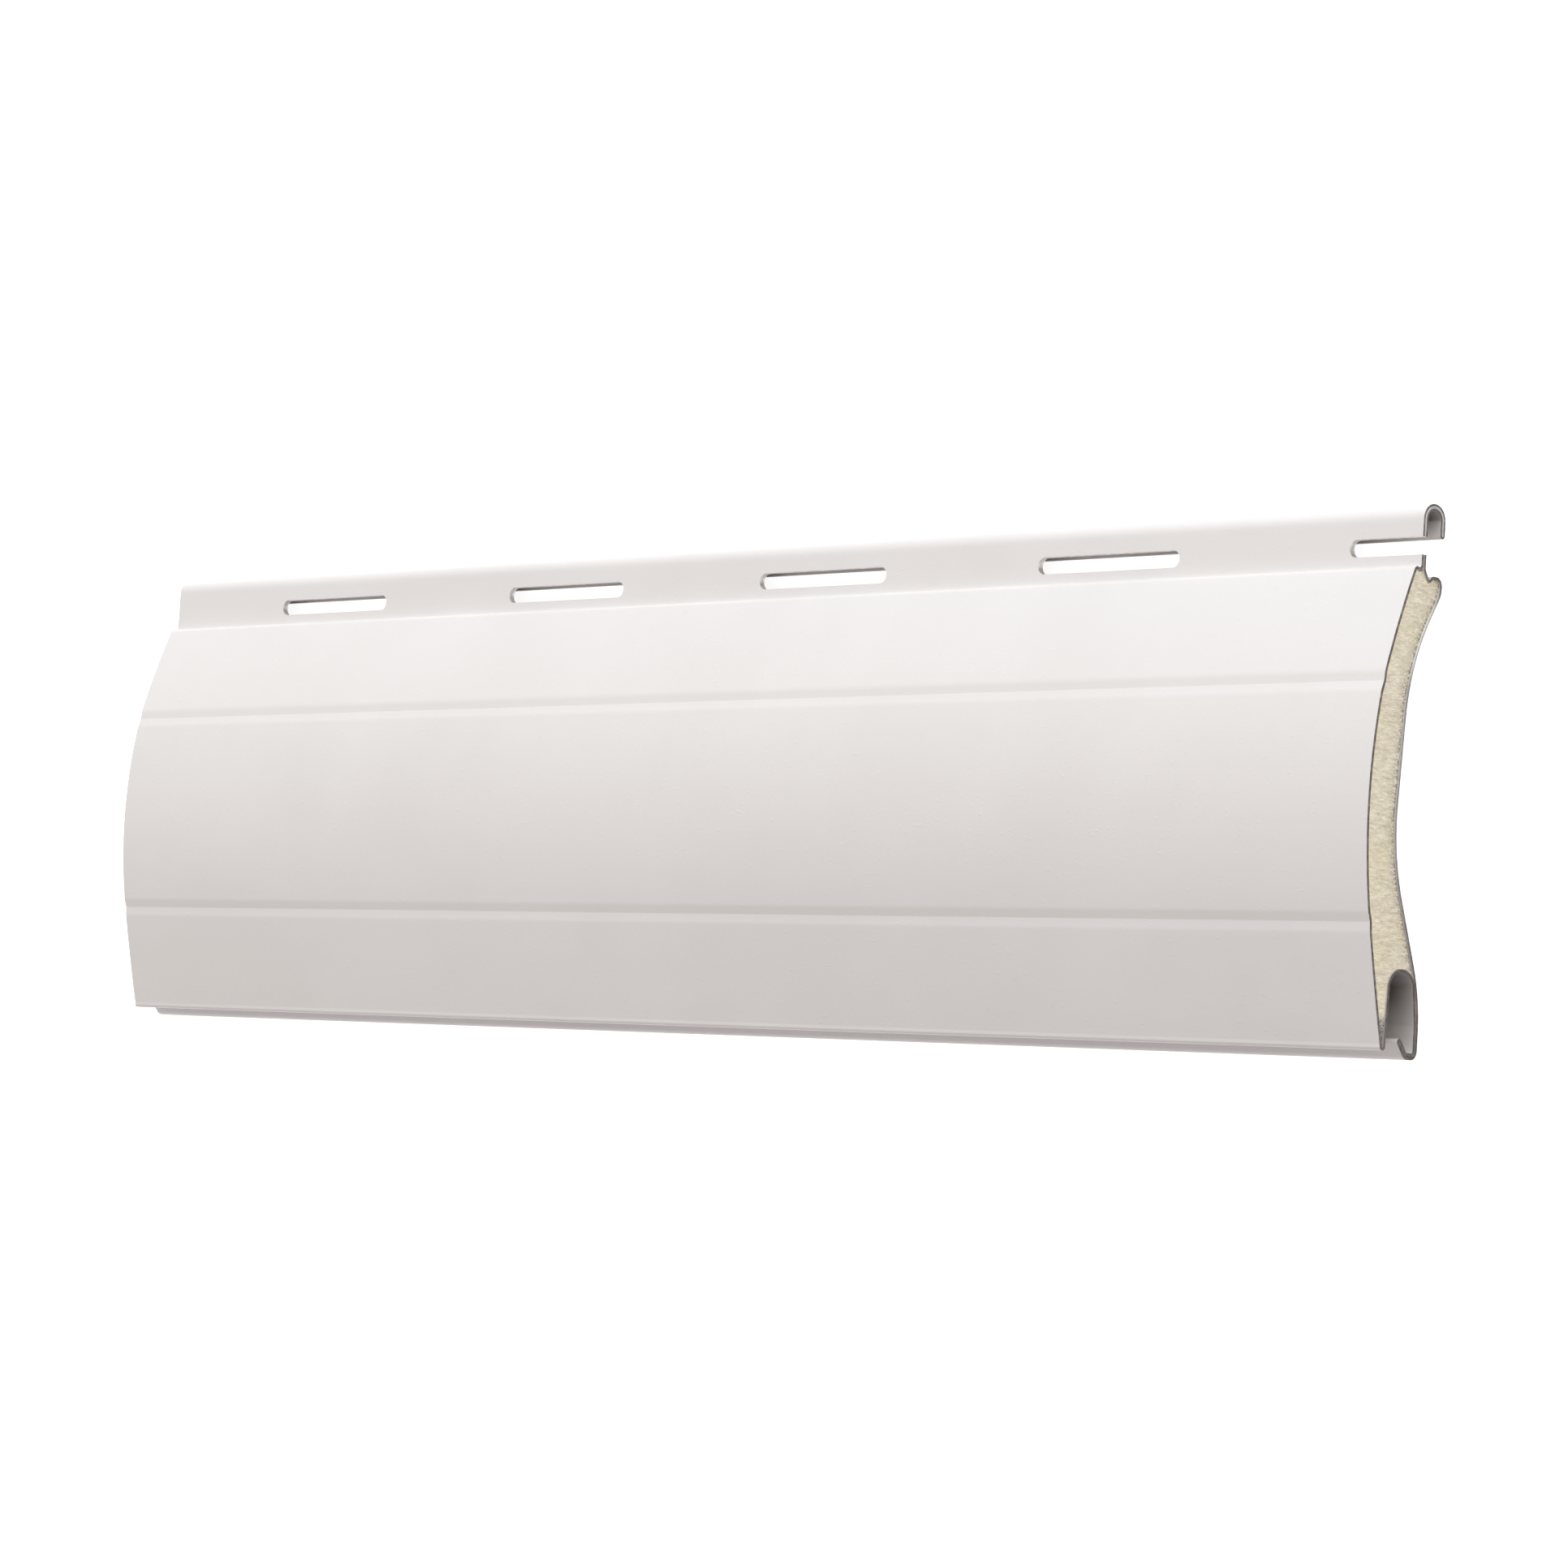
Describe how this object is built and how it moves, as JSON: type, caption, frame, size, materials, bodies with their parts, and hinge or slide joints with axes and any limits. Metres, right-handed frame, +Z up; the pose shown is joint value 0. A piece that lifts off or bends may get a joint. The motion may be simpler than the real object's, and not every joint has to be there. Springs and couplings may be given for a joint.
{
  "type": "roller shutter slat",
  "caption": "Curved roller shutter slat: painted roll-formed skin with hook, slotted neck, two bead grooves and rear channel, filled with rigid foam.",
  "frame": {"origin": "in the plane the slat lies on, under the middle of its length and width", "axes": "+X along the slat towards the end with the opened slot, +Y across it from the foot to the hook, +Z up out of the painted front"},
  "size_m": [0.1886, 0.0516, 0.009],
  "materials": {
    "painted_skin": "satin off-white stove enamel with a fine orange-peel texture; bare metal shows at the sawn ends and in the punched slots",
    "foam": "beige rigid polyurethane foam, sawn flush at both ends, fine grain"
  },
  "bodies": {
    "root": {"aluminium_skin": "painted_skin", "foam_core": "foam"}
  },
  "joints": []
}
